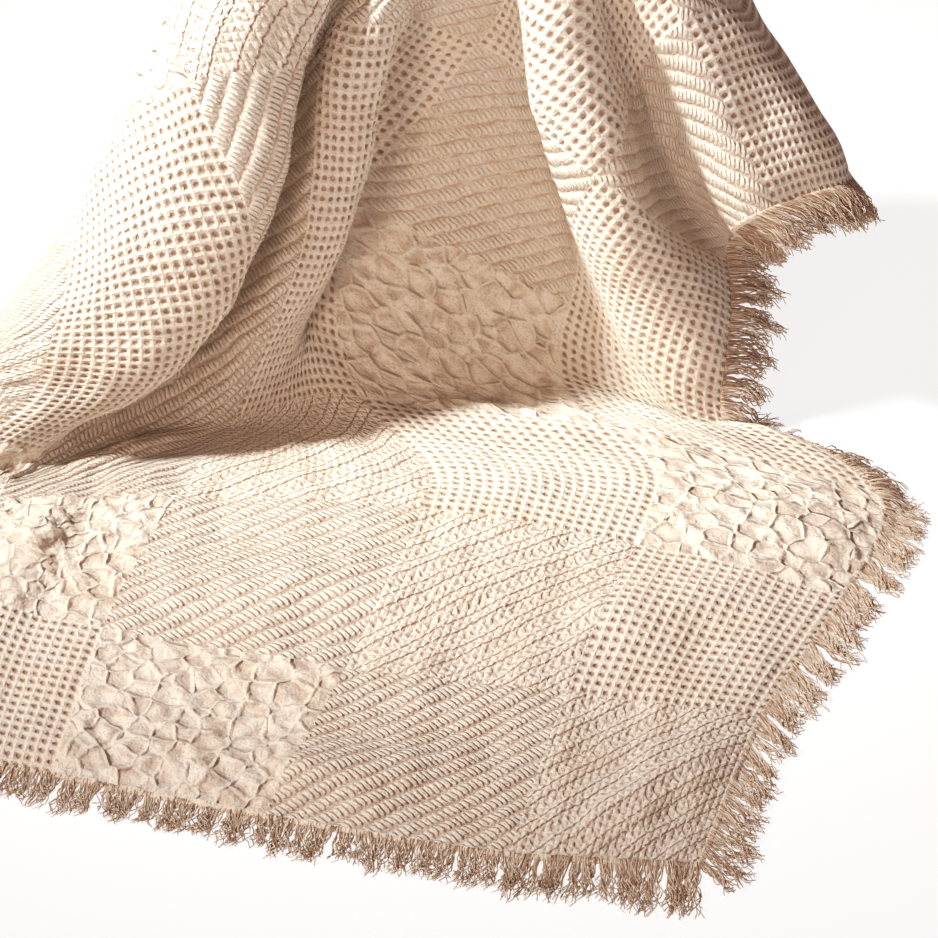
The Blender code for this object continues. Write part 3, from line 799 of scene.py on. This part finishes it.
def build_yarns(name, edge, size, turn, seed, material):
    """One edge's fringe as thin tubes."""
    path = yarn_paths(edge, size, turn, seed)
    count = len(path)
    ahead = np.gradient(path, axis=1)
    ahead /= np.linalg.norm(ahead, axis=2, keepdims=True) + 1e-9
    # Any direction that no yarn follows gives the tubes their sides.
    side = np.cross(ahead, np.array((0.13, 0.21, 0.97)))
    side /= np.linalg.norm(side, axis=2, keepdims=True) + 1e-9
    third = np.cross(ahead, side)
    share = np.linspace(0.0, 1.0, YARN_POINTS)
    radius = YARN_RADIUS * (1.0 - YARN_TAPER * share ** 3)
    rings = []
    for c in range(YARN_SIDES):
        angle = 2 * math.pi * c / YARN_SIDES
        rings.append(path + (side * math.cos(angle) + third * math.sin(angle)) * radius[None, :, None])
    vertices = np.stack(rings, axis=2).reshape(-1, 3)
    faces = []
    spots = []
    chance = np.random.default_rng(seed + 100)
    for y in range(count):
        base = y * YARN_POINTS * YARN_SIDES
        shift = chance.uniform(0.0, 9.0)
        for n in range(YARN_POINTS - 1):
            for c in range(YARN_SIDES):
                d = (c + 1) % YARN_SIDES
                low = base + n * YARN_SIDES
                high = low + YARN_SIDES
                faces.append((low + c, low + d, high + d, high + c))
                v0 = shift + n * YARN_TEXTURE
                v1 = v0 + YARN_TEXTURE
                u0 = c / YARN_SIDES
                u1 = u0 + 1 / YARN_SIDES
                spots.extend((u0, v0, u1, v0, u1, v1, u0, v1))
        last = base + (YARN_POINTS - 1) * YARN_SIDES
        faces.append(tuple(last + c for c in range(YARN_SIDES)))
        spots.extend((0.0, shift) * YARN_SIDES)
        faces.append(tuple(base + c for c in reversed(range(YARN_SIDES))))
        spots.extend((0.0, shift) * YARN_SIDES)
    item, mesh = add_mesh(name, vertices.tolist(), faces)
    layer = mesh.uv_layers.new(name="yarn")
    layer.data.foreach_set("uv", np.array(spots, np.float32))
    mesh.materials.append(material)
    mesh.shade_smooth()
    return item


# The camera: turned with the photo, looking down on the spread part.
CAMERA_DISTANCE = 2.2
CAMERA_ELEVATION = math.radians(38.0)
CAMERA_LENS = 90.0
CAMERA_SENSOR = 36.0


def build_camera():
    """The camera looks at the origin from the front and above."""
    data = bpy.data.cameras.new("camera")
    data.lens = CAMERA_LENS
    data.sensor_width = CAMERA_SENSOR
    camera = bpy.data.objects.new("camera", data)
    camera.location = (
        0.0,
        -CAMERA_DISTANCE * math.cos(CAMERA_ELEVATION),
        CAMERA_DISTANCE * math.sin(CAMERA_ELEVATION),
    )
    camera.rotation_euler = (math.pi / 2 - CAMERA_ELEVATION, 0.0, 0.0)
    bpy.context.scene.collection.objects.link(camera)
    bpy.context.scene.camera = camera


def build_light(name, place, target, size, power, spread, colour):
    """A square soft light that looks at a target, its beam as wide as spread in degrees."""
    data = bpy.data.lights.new(name, "AREA")
    data.size = size
    data.energy = power
    data.spread = math.radians(spread)
    data.color = colour
    light = bpy.data.objects.new(name, data)
    light.location = place
    way = [t - p for t, p in zip(target, place)]
    flat = math.hypot(way[0], way[1])
    light.rotation_euler = (math.atan2(flat, -way[2]), 0.0, -math.atan2(way[0], way[1]))
    bpy.context.scene.collection.objects.link(light)


# The tone of the photographic print: red, green and blue points of brightness in and out,
# which turn the shades warm brown and leave the white alone.
TONES = (
    ((0.20, 0.19), (0.50, 0.52)),
    ((0.18, 0.142), (0.45, 0.44)),
    ((0.14, 0.100), (0.40, 0.385)),
)

# The lights: name, place, target, size, power, spread in degrees, and colour.  The key's
# beam falls off to the front, as the light in the photo does.
LIGHTS = (
    ("left_light", (-2.52, -0.12, 3.02), (0.02, 0.37, 0.05), 0.34, 10.2, 35.0, (1.0, 0.98, 0.95)),
    ("front_light", (-1.0, -2.3, 0.80), (0.12, 0.17, 0.10), 0.8, 1.2, 34.0, (1.0, 0.80, 0.67)),
)
FLOOR_REACH = 24.0
FLOOR_GREY = 0.22
FLOOR_GLOW = 0.83
SKY = (1.0, 0.70, 0.58, 1.0)
SKY_STRENGTH = 0.18


def build_stage():
    """A plain pale floor, a key light from the left, a soft fill from the front and a pale sky."""
    corners = [(x * FLOOR_REACH, y * FLOOR_REACH, 0.0) for x, y in ((-1, -1), (1, -1), (1, 1), (-1, 1))]
    floor, mesh = add_mesh("floor", corners, [(0, 1, 2, 3)])
    material, _, shader = new_material("floor")
    shader.inputs["Base Color"].default_value = (FLOOR_GREY, FLOOR_GREY, FLOOR_GREY, 1.0)
    shader.inputs["Roughness"].default_value = 0.9
    shader.inputs["Emission Color"].default_value = (1.0, 1.0, 1.0, 1.0)
    shader.inputs["Emission Strength"].default_value = FLOOR_GLOW
    mesh.materials.append(material)
    for light in LIGHTS:
        build_light(*light)
    world = bpy.data.worlds.new("sky")
    world.use_nodes = True
    background = world.node_tree.nodes["Background"]
    background.inputs["Color"].default_value = SKY
    background.inputs["Strength"].default_value = SKY_STRENGTH
    bpy.context.scene.world = world
    view = bpy.context.scene.view_settings
    view.view_transform = "Standard"
    view.use_curve_mapping = True
    for curve, points in zip(view.curve_mapping.curves, TONES):
        for x, y in points:
            curve.points.new(x, y)
    view.curve_mapping.update()


# The edges: name, length, which way is out of the cloth, and the seed of the yarns.
EDGES = (
    ("front", WIDTH, -1.0, 21),
    ("back", WIDTH, 1.0, 22),
    ("right", LENGTH, 1.0, 23),
    ("left", LENGTH, -1.0, 24),
)


def main():
    """Build the throw on its solids' body, then the stage and the camera."""
    sheet = build_sheet()
    yarn = yarn_material()
    for (edge, size, turn, seed) in EDGES:
        item = build_yarns("yarns_" + edge, edge, size, turn, seed, yarn)
        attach(item, "root")
        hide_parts("fringe_" + edge)
    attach(sheet, "root")
    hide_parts("throw_cloth")
    build_stage()
    build_camera()


main()
